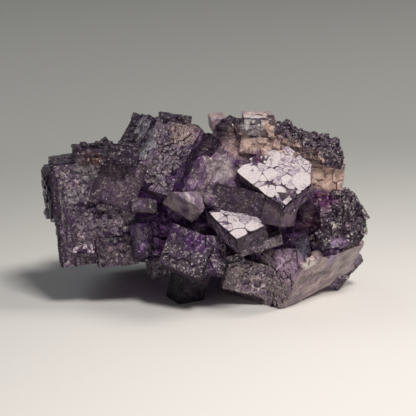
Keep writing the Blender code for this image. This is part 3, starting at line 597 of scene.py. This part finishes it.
def plate_blocks(name, edges, face, layer, draw, settings):
    """Plates on a face. Each is its outline at two heights, the root and the top, closed by fans of
    triangles. The top's height = raised + tilt across + tilt along, where raised goes up in whole steps
    with smooth noise, and the outline is moved about by smooth noise that neighbouring plates share. The
    points are one array of plates by points."""
    axis, end, usual, most, share, kind = face
    part, scale, rise = layer
    number, height, outward, (across, along) = face_axes(edges, axis, end)
    wide, long = abs(edges[across]), abs(edges[along])
    signs = np.sign([edges[across], edges[along]])
    white = kind == "white"
    placed = white and scale == 1
    large, gaps = (LARGE_PLATES.get(name), PLATE_GAPS.get(name)) if placed else (None, None)
    spots, sizes = plate_spots(wide, long, usual * scale, large, gaps, draw)
    outline = plate_outlines(spots, sizes, wide, long, draw, settings)
    if placed:
        round_to = (ROUND_SHARE * sizes + ROUND_MORE)[:, None, None]
        outline = outline * np.minimum(1, round_to / np.linalg.norm(outline, axis=-1, keepdims=True))
    big = sizes > usual / 2
    ragged = (spots[:, 0] < settings.ragged) & white & (sizes < usual + RAGGED_MORE)
    kept = big | (draw.random(len(spots)) < share * part * np.where(ragged, RAGGED_SHARE, 1))
    kept &= np.linalg.norm(outline, axis=-1).mean(axis=1) > LEAST_PLATE
    spots, outline, ragged, big = spots[kept], outline[kept], ragged[kept], big[kept]
    count, corners = len(spots), settings.plate_corners
    if count == 0:
        return None

    flat = spots[:, None] + outline
    at = np.concatenate([flat, np.full((count, corners, 1), SWAY_APART * number)], axis=-1)
    sway = np.stack([smooth_noise(at, SWAY_WIDTH, seed) for seed in (11, 12)], axis=-1) * settings.sway
    flat = flat + sway * np.clip(np.minimum(flat, np.array([wide, long]) - flat), 0, 1)
    level = draw.random(count)
    at = np.column_stack([spots, np.full(count, TERRACE_PLACE)])
    terrace = np.round(TERRACE_STEPS * smooth_noise(at, TERRACE_WIDTH, number)) / TERRACE_STEPS
    uneven = 1 + HEIGHT_SPREAD * draw.normal(size=count)
    raised = rise + most * (uneven - LOW_BY * (level < LOW_CHANCE) + HIGH_BY * (level > HIGH_CHANCE))
    raised = raised + settings.terrace * np.maximum(terrace, 0) * (not white)
    tilt = draw.normal(0, settings.tilt, (count, 2)) * np.where(ragged, RAGGED_TILT, 1)[:, None]
    top = np.maximum(raised[:, None] + np.einsum("npc,nc->np", outline, tilt), LEAST_RISE)
    points = np.empty((count, 2, corners, 3))
    points[..., [across, along]] = (flat * signs)[:, None]
    points[:, 0, :, number] = height - outward * settings.root
    points[:, 1, :, number] = height + outward * top

    low = np.arange(corners)
    following = np.roll(low, -1)
    fan = np.stack([np.zeros(corners - 2, int), low[1:-1], low[2:]], axis=-1)
    one = np.concatenate([
        np.stack([low, following, following + corners], axis=-1),
        np.stack([low, following + corners, low + corners], axis=-1), fan + corners, fan[:, ::-1]])
    if outward * signs.prod() * (-1 if axis == "Y" else 1) < 0:
        one = one[:, ::-1]
    faces = (one[None] + 2 * corners * np.arange(count)[:, None, None]).reshape(-1, 3)
    tints = np.maximum(draw.random(count) * (SMALL_TINT if placed else 1), LARGE_TINT * big)
    is_top = np.repeat([False, True, False], [2 * corners, corners - 2, corners - 2])
    plate = np.where(is_top, PLATE_TOP + (1 - PLATE_TOP) * tints[:, None], PLATE_SIDE)
    return points.reshape(-1, 3), faces, plate.ravel()


def cube_blocks(edges, face, shift, draw):
    """Small cubes sunk into a face. Each is the eight corners of a cube times its edge, turned by its own
    small turn, in every second cell of a grid both ways, so that the cubes of one call don't touch."""
    axis, end, size, share = face
    number, height, outward, (across, along) = face_axes(edges, axis, end)
    columns, rows = (max(1, int(abs(edges[i]) // (size * CUBE_CELL))) for i in (across, along))
    i, j = np.meshgrid(np.arange(shift[0], columns, 2), np.arange(shift[1], rows, 2), indexing="ij")
    cells = np.stack([i.ravel(), j.ravel()], axis=-1)
    cells = cells[draw.random(len(cells)) < share]
    count = len(cells)
    if count == 0:
        return None
    edge = size * draw.uniform(*CUBE_EDGE, count) ** CUBE_POWER
    middle = np.zeros((count, 3))
    spot = (cells + draw.uniform(*CUBE_PLACE, (count, 2))) / (columns, rows)
    middle[:, [across, along]] = spot * edges[[across, along]]
    middle[:, number] = height + outward * edge * draw.uniform(*CUBE_RISE, count)
    turns = np.array([Euler(row).to_matrix() for row in draw.normal(0, CUBE_TURN, (count, 3))])
    corners = np.array(list(np.ndindex(2, 2, 2))) - 0.5
    points = middle[:, None] + np.einsum("nij,kj->nki", turns, corners) * edge[:, None, None]
    quads = np.array([[0, 1, 3, 2], [4, 6, 7, 5], [0, 4, 5, 1], [2, 3, 7, 6], [0, 2, 6, 4], [1, 5, 7, 3]])
    faces = (quads[None] + 8 * np.arange(count)[:, None, None]).reshape(-1, 4)
    return points.reshape(-1, 3), faces, PLATE_TOP + (1 - PLATE_TOP) * draw.random(count * 6) ** 2


def boolean(base, other, operation):
    """The base's mesh joined with, or cut by, the other object's, which is then removed."""
    modifier = base.modifiers.new(operation, "BOOLEAN")
    modifier.operation, modifier.solver, modifier.object = operation, "MANIFOLD", other
    view = bpy.context.evaluated_depsgraph_get()
    result = bpy.data.meshes.new_from_object(base.evaluated_get(view))
    base.modifiers.remove(modifier)
    old, base.data = base.data, result
    if len(result.polygons) == 0:
        raise RuntimeError(f"nothing is left of {base.name} after {other.name}")
    for mesh in (old, other.data):
        bpy.data.meshes.remove(mesh)
    return base


def add_object(name, data):
    """A new object in the scene with that mesh, lamp or camera."""
    piece = bpy.data.objects.new(name, data)
    bpy.context.scene.collection.objects.link(piece)
    return piece


def grow_crystal(name, settings):
    """One crystal with its plates and small cubes joined to it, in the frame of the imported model."""
    corner, turn, edges, kind = CRYSTALS[name]
    edges = np.array(edges)
    skin = SKINS[kind]
    draw = np.random.default_rng([ord(letter) for letter in name])
    matrix = np.array(Euler(np.radians(turn)).to_matrix())

    def made(label, look, points, faces, plate, place):
        world = ((np.array(corner) - BASE_MIDDLE + points @ matrix.T) * MM).astype(np.float32)
        return add_object(label, new_mesh(label, world, faces, place.astype(np.float32), edges, look, plate))

    points, faces, place, plate = crystal_body(name, edges, settings)
    crystal = made(name, skin, points, faces, plate, place)
    blocks = [(plate_blocks(name, edges, face, layer, draw, settings), SKINS[face[-1]])
              for face in PLATED_FACES.get(name, ()) for layer in PLATE_LAYERS]
    blocks += [(cube_blocks(edges, face, shift, draw), skin)
               for face in SMALL_CUBES.get(name, ()) for shift in CUBE_SHIFTS]
    for shape, look in blocks:
        if shape:
            boolean(crystal, made(f"{name} blocks", look, *shape, shape[0]), "UNION")
    return crystal


def half_space(point, facing, ripple=0.0, skin=SKINS["clear"], size=120.0):
    """A box that fills one side of a plane. Its near face lies on the plane, or ripples about it like a
    broken shell: height = ripple times (folded broad noise + a share of finer noise)."""
    matrix = np.array(Vector(facing).normalized().to_track_quat("Z", "Y").to_matrix())
    edges = np.array([size, size, size])
    lines = np.linspace(0.0, size, RIPPLE_LINES if ripple else 2)
    place, faces, sides, _ = box_skin(edges, [lines, lines, np.array([0.0, size])])
    broad, finer = (smooth_noise(place, width, seed) for width, seed in zip(RIPPLE_WIDTHS, (3, 4)))
    folded = np.abs(broad) - RIPPLE_MIDDLE + FINER_RIPPLE * finer
    place[:, 2] += np.where(sides[:, 2] < 0, ripple * folded, 0.0)
    place = place - edges * (0.5, 0.5, 0.0)
    points = ((np.array(point) - BASE_MIDDLE + place @ matrix.T) * MM).astype(np.float32)
    return add_object("half space", new_mesh("half space", points, faces, place, edges, skin, BARE))


def grow_cluster(settings):
    """Every crystal joined to the next, in pairs until one is left, and cut off flat at the floor."""
    pieces = []
    for name in CRYSTALS:
        crystal = grow_crystal(name, settings)
        for point, facing in CLEAVAGE.get(name, ()):
            cutter = half_space(point, facing, settings.ripple, SKINS[CRYSTALS[name][-1]])
            boolean(crystal, cutter, "DIFFERENCE")
        pieces.append(crystal)
    while len(pieces) > 1:
        joined = [boolean(a, b, "UNION") for a, b in zip(pieces[::2], pieces[1::2])]
        pieces = joined + (pieces[-1:] if len(pieces) % 2 else [])
    cluster = pieces[0]
    boolean(cluster, half_space((0, 0, FLOOR_CUT), (0, 0, -1)), "DIFFERENCE")
    cluster.name = cluster.data.name = "crystals"
    return cluster


class Shade:
    """A socket in a material's node tree. Sums and products of it add Math nodes; node() adds any other."""

    def __init__(self, tree, socket=None):
        self.tree, self.socket = tree, socket

    def node(self, kind, settings=None, inputs=None, output=0):
        """Adds a node: its settings first, then the values or links of its sockets. Gives one output."""
        made = self.tree.nodes.new(kind)
        for name, value in (settings or {}).items():
            setattr(made, name, value)
        for key, value in (inputs or {}).items():
            if isinstance(value, Shade):
                self.tree.links.new(value.socket, made.inputs[key])
            else:
                made.inputs[key].default_value = value
        return Shade(self.tree, made.outputs[output])

    def math(self, operation, *others, clamp=False):
        values = dict(enumerate((self, *others)))
        return self.node("ShaderNodeMath", {"operation": operation, "use_clamp": clamp}, values)

    def __add__(self, other):
        return self.math("ADD", other)

    __radd__ = __add__

    def __mul__(self, other):
        return self.math("MULTIPLY", other)

    __rmul__ = __mul__

    def __sub__(self, other):
        return self.math("SUBTRACT", other)

    def __rsub__(self, other):
        return self.node("ShaderNodeMath", {"operation": "SUBTRACT"}, {0: other, 1: self})

    def held(self):
        """The value kept between 0 and 1."""
        return self.math("ADD", 0.0, clamp=True)

    def step(self, low, high):
        """0 below low and 1 above high, with a smooth rise between; falls instead where low is the larger."""
        if low > high:
            return 1 - self.step(high, low)
        ends = {0: self, 1: low, 2: high, 3: 0.0, 4: 1.0}
        return self.node("ShaderNodeMapRange", {"interpolation_type": "SMOOTHSTEP"}, ends)

    def blend(self, below, above):
        """The colour above laid over the one below by this factor."""
        return self.node("ShaderNodeMix", {"data_type": "RGBA"}, {0: self, 6: below, 7: above}, 2)

    def split(self):
        """The three parts of a vector or colour."""
        return [self.node("ShaderNodeSeparateXYZ", None, {0: self}, part) for part in range(3)]

    def vector(self, operation, other=(0.0,) * 3, output=0):
        """This vector worked on with another: output 0 is a vector, output 1 a number."""
        return self.node("ShaderNodeVectorMath", {"operation": operation}, {0: self, 1: other}, output)

    def scaled(self, factor):
        """This vector times a number."""
        return self.node("ShaderNodeVectorMath", {"operation": "SCALE"}, {0: self, 3: factor})

    def attribute(self, name, output="Vector"):
        """What the mesh carries under that name."""
        return self.node("ShaderNodeAttribute", {"attribute_name": name}, output=output)

    def noise(self, scale, detail=2.0, roughness=0.55, distortion=0.0, output=0):
        """Noise of that many bumps per mm, about 0.5 in the middle, at this place."""
        inputs = {"Vector": self, "Scale": scale, "Detail": detail, "Roughness": roughness}
        return self.node("ShaderNodeTexNoise", None, {**inputs, "Distortion": distortion}, output)

    def cells(self, scale):
        """Cells of that many per mm at this place: a colour of its own for each."""
        return self.node("ShaderNodeTexVoronoi", None, {"Vector": self, "Scale": scale}, "Color")

    def cracks(self, scale):
        """How far this place is from the lines between such cells, in widths of a cell."""
        settings = {"feature": "DISTANCE_TO_EDGE"}
        return self.node("ShaderNodeTexVoronoi", settings, {"Vector": self, "Scale": scale})

    def finish(self, surface, inside=None):
        """Ends the material with what its faces show and, where it is clear, what is inside it."""
        end = self.tree.nodes.new("ShaderNodeOutputMaterial")
        for key, made in (("Surface", surface), ("Volume", inside)):
            if made:
                self.tree.links.new(made.socket, end.inputs[key])


def new_material(name):
    """An empty material, and the shade that its nodes are added from."""
    material = bpy.data.materials.new(name)
    material.use_nodes = True
    material.node_tree.nodes.clear()
    return material, Shade(material.node_tree)


def crystal_material(tones):
    """Clear purple crystal whose faces are more or less frosted. The clear share is glass with purple
    absorption inside; the frosted share is a dull surface whose colour follows the plates, the cracks,
    each crystal and the patches of colour, some of it painted glare, glints, light and shade. The surface
    is turned a little in each small cell, which makes it sparkle."""
    material, start = new_material("fluorite crystal")
    spot = start.node("ShaderNodeTexCoord", output="Object").vector("MULTIPLY", (1 / MM,) * 3)
    place = start.attribute("place")
    reach = start.attribute("reach").split()
    frost, warm, pale = start.attribute("look").split()
    purple, dark, plate = start.attribute("tone").split()
    grit = start.attribute("grit", "Fac")

    # How far the nearest edge is: the middle one of the distances to the crystal's three pairs of faces.
    far = [part.math("ABSOLUTE") for part in place.split()]
    x, y, z = (part.math("MINIMUM", whole - part) for part, whole in zip(far, reach))
    edge = x.math("MINIMUM", y).math("MAXIMUM", x.math("MAXIMUM", y).math("MINIMUM", z))

    # Noise through the whole specimen, then cells and cracks that follow each crystal.
    broad = spot.noise(0.09)
    patch = spot.noise(0.35, detail=3.0)
    veil = spot.noise(0.22, detail=4.0, distortion=1.2)
    grain = spot.noise(2.2, detail=3.0, roughness=0.65)
    speck = spot.noise(1.5, detail=1.0)
    slant = spot.node("ShaderNodeMapping", None, {0: spot, 2: (0.3, 0.85, 0.2), 3: (1.3, 1.0, 0.25)})
    wisp = slant.noise(0.75, detail=5.0, roughness=0.7, distortion=0.5)
    cleft = slant.cracks(0.5)
    wander = spot.vector("ADD", spot.noise(0.3, detail=3.0, output=1).vector("MULTIPLY", (WANDER,) * 3))
    bent = place.vector("ADD", place.noise(0.8, output=1).vector("MULTIPLY", (0.9,) * 3))
    crack, fine = bent.cracks(0.55), bent.cracks(1.5)
    turns = bent.cells(1.3)
    chance, other, third = turns.split()
    sparkle, shade, _ = bent.cells(2.2).split()
    streak = place.vector("MULTIPLY", (1.0, 1.0, 0.2)).noise(0.9)

    # Masks: plates and their sides, the rims of crystals, how clear a face is, cracks and flaws.
    top = plate.step(0.5, 0.59)
    tint = (plate - PLATE_TOP) * (1 / (1 - PLATE_TOP))
    side = plate.step(0.1, 0.19) * (1 - top)
    rim = edge.step(2.6, 0.2) * broad.step(0.3, 0.6)
    # Painted glare: white plate tops stand in for the light above reflected by them.
    white = (pale - 1).held() * top
    soft = 1 - white
    paleness = pale.held()
    cloud = ((1 - frost) * 4).held()
    mottle = patch.step(0.35, 0.6)
    seam = crack.step(0.08, 0.0) * 0.6 * (1 - top * 0.6) * (1.15 - pale).held()
    hair = fine.step(0.12, 0.0) * patch.step(0.42, 0.6) * (1.3 - pale).held()
    lines = seam.math("MAXIMUM", hair * 0.75) * soft * grit.step(0.05, 0.5)
    flaw = fine.step(0.06, 0.0) * patch.step(0.4, 0.6) * 0.4 + speck.step(0.55, 0.38) * (0.85 - 0.85 * tint)
    fleck = speck.step(0.46, 0.34) * 0.7 + shade.step(0.25, 0.1) * 0.6

    # Tones laid one over another, each by its share: the crystals' own, the patches, and what is on top,
    # among them painted glare, glints, light and shade.
    layers = [
        (tones.stone, paleness * (0.15 + 0.85 * veil.step(0.42, 0.6))),
        # In the clear crystal, the cream wisps and lines are partly its white inner veils and partly painted
        # reflections off cleavage planes.
        (tones.cream, cloud * paleness * wisp.step(0.54, 0.66) * 0.6),
        (tones.violet, cloud * paleness * wisp.step(0.47, 0.4) * 0.8),
        (tones.cream, cloud * cleft.step(0.05, 0.0) * veil.step(0.42, 0.55) * 0.6),
        (tones.tan, warm * (0.25 + 0.75 * mottle)),
        (tones.violet, purple * (0.25 + 0.75 * streak.step(0.42, 0.6))),
        (tones.deep, purple * rim * 0.6),
        (tones.stone, top * tint * 0.35),
        (tones.black, (dark * (0.55 + 0.5 * patch)).held()),
    ]
    for middle, radius, tone, strength in ZONES.values():
        middle = np.array(middle) - BASE_MIDDLE + WANDER / 2
        near = wander.vector("DISTANCE", tuple(middle), 1).step(radius, radius / 2)
        layers.append((getattr(tones, tone), near * strength))
    layers += [
        (tones.pink, chance.step(0.72, 0.9) * grit * (0.2 + 0.5 * paleness) * mottle),
        (tones.deep, fleck.held() * soft * grit),
        # Painted glints: these three cream layers are bright specks of reflected light on the faces and the
        # small cubes.
        (tones.cream, other.step(0.82, 0.9) * grit * speck.step(0.4, 0.55) * (0.4 + 0.6 * paleness)),
        (tones.cream, third.step(0.9, 0.94) * tint.step(0.3, 0.9) * dark.held() * grit * 0.6),
        (tones.cream, sparkle.step(0.91, 0.94) * grit * mottle * soft * 0.9),
        (tones.deep, (lines * 0.8 + side * (0.85 - 0.35 * pale)).held()),
        (tones.deep, broad.step(0.52, 0.3) * 0.45 * soft),
        # Painted glare on the white plates: mauve beneath, then white, partly etching and partly the light
        # above reflected.
        (tones.mauve, white),
        (tones.white, white * (0.7 + 0.35 * tint) * (0.75 + 0.25 * grain.step(0.3, 0.5)) * (1 - flaw)),
    ]
    dull = patch.step(0.35, 0.65).blend(tones.mauve, tones.slate)
    for tone, factor in layers:
        dull = factor.blend(dull, tone)

    rough = 0.3 + 0.25 * patch - 0.12 * chance * soft + 0.2 * lines
    share = (frost * (0.72 + 0.5 * patch) + 0.2 * top - 0.4 * rim * soft - 0.3 * lines - 0.3 * side).held()
    level = start.node("ShaderNodeNewGeometry", output="Normal")
    lean = turns.vector("SUBTRACT", (0.5,) * 3).scaled(grit * 0.9)
    swing = bent.cells(0.6).vector("SUBTRACT", (0.5,) * 3).scaled(cloud * soft * 1.1)
    tilted = level.vector("ADD", lean).vector("ADD", swing).vector("NORMALIZE")
    height = grain * 0.5 + speck * 0.6 * grit + streak * 1.5 * grit.held() - lines * 1.2
    relief = {"Height": height, "Distance": BUMP_DEPTH, "Strength": 0.7, "Normal": tilted}
    bump = start.node("ShaderNodeBump", None, relief)

    frosted = start.node("ShaderNodeBsdfPrincipled", None, {
        "Base Color": dull, "Roughness": rough, "IOR": FLUORITE_IOR, "Specular IOR Level": 0.3,
        "Coat Weight": (other.step(0.5, 0.8) * grit).held() * soft, "Coat Roughness": 0.12, "Normal": bump})
    clear = start.node("ShaderNodeBsdfPrincipled", None, {
        "Base Color": CLEAR_COLOUR, "Roughness": 0.05, "IOR": FLUORITE_IOR, "Transmission Weight": 1.0,
        "Normal": bump})
    surface = start.node("ShaderNodeMixShader", None, {0: share, 1: clear, 2: frosted})
    inside = start.node("ShaderNodeVolumeAbsorption", None, {"Color": tones.inside, "Density": tones.density})
    start.finish(surface, inside)
    return material


def colour_property(name, description, default):
    return FloatVectorProperty(name=name, description=description, default=(*default, 1.0), size=4, min=0.0,
                               max=1.0, subtype="COLOR")


def length_property(name, description, default):
    return FloatProperty(name=name, description=description, default=default, min=0.0, subtype="DISTANCE",
                         unit="LENGTH")


class CrystalSettings(bpy.types.PropertyGroup):
    body_step: length_property("Grid", "Spacing of the grid on a crystal's own faces", 0.0032)
    chip: length_property("Chips", "Depth of the chips along a crystal's edges", 0.0012)
    rim: length_property("Worn edge", "How far a crystal's edges are worn back", 0.00035)
    wave: length_property("Waviness", "How far a face rises and sinks", 0.00012)
    bend: length_property("Bend", "How far a whole crystal is bent out of true", 0.00025)
    ripple: length_property("Ripple", "How far a break along a cleavage plane swings about it", 0.0009)
    groove: length_property("Groove", "Usual gap between two mosaic plates", 0.00013)
    root: length_property("Root", "How deep a mosaic plate is set in its face", 0.0006)
    tilt: FloatProperty(name="Tilt", description="Usual tilt of a mosaic plate", default=0.025)
    terrace: length_property("Terraces", "Height of the steps that groups of plates stand on", 0.0011)
    ragged: length_property("Ragged edge", "Width of the strip where white plates are few and tilted", 0.0035)
    sway: length_property("Sway", "How far the grooves wander from straight lines", 0.0005)
    plate_corners: IntProperty(name="Plate corners", description="Corners of a plate", default=13, min=5)


class ToneSettings(bpy.types.PropertyGroup):
    mauve: colour_property("Mauve", "Frosted faces", (0.19, 0.108, 0.22))
    slate: colour_property("Slate", "Greyer frosted faces", (0.125, 0.097, 0.142))
    violet: colour_property("Violet", "Purple zones near the surface", (0.12, 0.022, 0.19))
    deep: colour_property("Deep purple", "Edges, cracks and the sides of plates", (0.02, 0.006, 0.036))
    black: colour_property("Near black", "Dark crystals and crusts", (0.019, 0.013, 0.021))
    stone: colour_property("Stone", "Pale veils and grey-beige faces", (0.5, 0.42, 0.43))
    tan: colour_property("Tan", "Warm stained faces", (0.9, 0.62, 0.51))
    # Brown is partly a brown tint in the crystals and partly, on the left step, a painted orange reflection
    # from inside them.
    brown: colour_property("Brown", "Rusty stains", (0.16, 0.07, 0.04))
    lilac: colour_property("Lilac", "Pale purple patches", (0.46, 0.3, 0.54))
    magenta: colour_property("Magenta", "Reddish purple patches", (0.28, 0.07, 0.24))
    blue: colour_property("Blue", "The blue-grey face", (0.08, 0.09, 0.16))
    wine: colour_property("Wine", "Deep red crystals", (0.07, 0.012, 0.03))
    ash: colour_property("Ash", "Pale grey faces", (0.82, 0.78, 0.79))
    cool: colour_property("Cool grey", "Smooth blue-grey strips", (0.34, 0.33, 0.37))
    glow: colour_property("Glow", "Clear pink corners that the light passes", (0.78, 0.52, 0.74))
    pink: colour_property("Pink", "Pinkish specks", (0.5, 0.34, 0.38))
    # Cream is partly pale veils and specks and partly painted glints and reflections.
    cream: colour_property("Cream", "Pale specks", (0.85, 0.77, 0.72))
    # White is partly whitish etching and partly painted glare of the light above.
    white: colour_property("White", "Etched plates that face the light", (0.74, 0.66, 0.67))
    inside: colour_property("Inside", "What the clear crystal lets through", (0.54, 0.14, 0.64))
    density: FloatProperty(name="Density", description="Strength of the inner colour", default=130.0, min=0.0)


class StageSettings(bpy.types.PropertyGroup):
    # The floor is painted bright near the specimen and darker away from it: a painted pool of light where the
    # lamps fall.
    floor: colour_property("Floor", "Plain pale floor", (0.84, 0.81, 0.78))
    far: colour_property("Far floor", "The floor away from the specimen", (0.36, 0.365, 0.35))
    pool: FloatVectorProperty(name="Bright pool", description="Middle of the floor's bright part", size=3,
                              default=(0.09, -0.13, 0.0), subtype="TRANSLATION", unit="LENGTH")
    pool_start: length_property("Pool start", "Where the floor starts to darken", 0.06)
    pool_end: length_property("Pool end", "Where the floor is darkest", 0.35)
    distance: length_property("Camera distance", "From the middle of the specimen", 0.45)
    height: length_property("Aim height", "Height of the point that the camera looks at", 0.0285)
    elevation: FloatProperty(name="Elevation", description="How far the camera looks down", subtype="ANGLE",
                             default=math.radians(16.0))
    frame_width: length_property("Frame width", "Width of the picture at the specimen", 0.12896)


class Millimetres:
    """The crystals' settings with their lengths in mm."""

    def __init__(self, sizes):
        for name in sizes.bl_rna.properties.keys():
            value = getattr(sizes, name)
            if isinstance(value, (int, float)):
                setattr(self, name, value if name in ("tilt", "plate_corners") else value / MM)


class FLUORITE_OT_crystals(bpy.types.Operator):
    """Grow every crystal, join them and cut the cluster flat where it rests"""

    bl_idname = "fluorite.crystals"
    bl_label = "Grow the crystals"

    def execute(self, context):
        cluster = grow_cluster(Millimetres(context.scene.fluorite_sizes))
        cluster.data.materials.clear()
        cluster.data.materials.append(crystal_material(context.scene.fluorite_tones))
        cluster.data.polygons.foreach_set("material_index", np.zeros(len(cluster.data.polygons), np.int32))
        cluster.data.shade_flat()
        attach(cluster, "root")
        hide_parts(NODE)
        return {"FINISHED"}


def add_light(name, azimuth, elevation, distance, size, power, colour, target):
    """A square soft light that shines on the target from that azimuth and elevation."""
    lamp = bpy.data.lights.new(name, "AREA")
    lamp.shape, lamp.size, lamp.energy, lamp.color = "SQUARE", size, power, colour
    light = add_object(name, lamp)
    turn, rise = math.radians(azimuth), math.radians(elevation)
    way = Vector((math.sin(turn) * math.cos(rise), math.cos(turn) * math.cos(rise), math.sin(rise)))
    light.location = target + way * distance
    light.rotation_euler = way.to_track_quat("Z", "Y").to_euler()


class FLUORITE_OT_stage(bpy.types.Operator):
    """Set the floor, the soft lights and the camera round the specimen"""

    bl_idname = "fluorite.stage"
    bl_label = "Set the stage"

    def execute(self, context):
        scene, stage = context.scene, context.scene.fluorite_stage
        scene.view_settings.view_transform = "Standard"
        target = Vector((-BASE_MIDDLE[0] * MM, -BASE_MIDDLE[1] * MM, stage.height))

        mesh = bpy.data.meshes.new("floor")
        corners = [(x * FLOOR_HALF, y * FLOOR_HALF, 0) for x, y in ((-1, -1), (1, -1), (1, 1), (-1, 1))]
        mesh.from_pydata(corners, [], [(0, 1, 2, 3)])
        floor = add_object("floor", mesh)
        material, start = new_material("pale floor")
        spot = start.node("ShaderNodeTexCoord", output="Object")
        # Painted pool of light: the floor's colour darkens from the bright pool to the far floor.
        away = spot.vector("DISTANCE", stage.pool, 1).step(stage.pool_start, stage.pool_end)
        colour = away.blend(stage.floor, stage.far)
        start.finish(start.node("ShaderNodeBsdfPrincipled", None, {"Base Color": colour, "Roughness": 0.6}))
        mesh.materials.append(material)

        for name, light in LIGHTS.items():
            add_light(name, *light, target)
        world = bpy.data.worlds.new("soft room")
        world.use_nodes = True
        room = world.node_tree.nodes["Background"]
        room.inputs["Color"].default_value = ROOM_COLOUR
        room.inputs["Strength"].default_value = ROOM_STRENGTH
        scene.world = world

        data = bpy.data.cameras.new("camera")
        data.sensor_width = SENSOR_WIDTH
        data.lens = data.sensor_width * stage.distance / stage.frame_width
        camera = add_object("camera", data)
        back = Vector((0, -math.cos(stage.elevation), math.sin(stage.elevation)))
        camera.location = target + back * stage.distance
        camera.rotation_euler = back.to_track_quat("Z", "Y").to_euler()
        scene.camera = camera
        return {"FINISHED"}


class FLUORITE_PT_panel(bpy.types.Panel):
    bl_idname = "FLUORITE_PT_panel"
    bl_label = "Fluorite specimen"
    bl_space_type = "VIEW_3D"
    bl_region_type = "UI"
    bl_category = "Fluorite"

    def draw(self, context):
        for group, operator in (("fluorite_sizes", None), ("fluorite_tones", "fluorite.crystals"),
                                ("fluorite_stage", "fluorite.stage")):
            settings = getattr(context.scene, group)
            for name in settings.bl_rna.properties.keys():
                if name not in ("rna_type", "name"):
                    self.layout.prop(settings, name)
            if operator:
                self.layout.operator(operator)


CLASSES = (CrystalSettings, ToneSettings, StageSettings, FLUORITE_OT_crystals, FLUORITE_OT_stage,
           FLUORITE_PT_panel)


def register():
    for made in CLASSES:
        bpy.utils.register_class(made)
    bpy.types.Scene.fluorite_sizes = PointerProperty(type=CrystalSettings)
    bpy.types.Scene.fluorite_tones = PointerProperty(type=ToneSettings)
    bpy.types.Scene.fluorite_stage = PointerProperty(type=StageSettings)


def unregister():
    for name in ("fluorite_stage", "fluorite_tones", "fluorite_sizes"):
        delattr(bpy.types.Scene, name)
    for made in reversed(CLASSES):
        bpy.utils.unregister_class(made)


def main():
    register()
    bpy.ops.fluorite.crystals()
    bpy.ops.fluorite.stage()


if __name__ == "__main__":
    main()
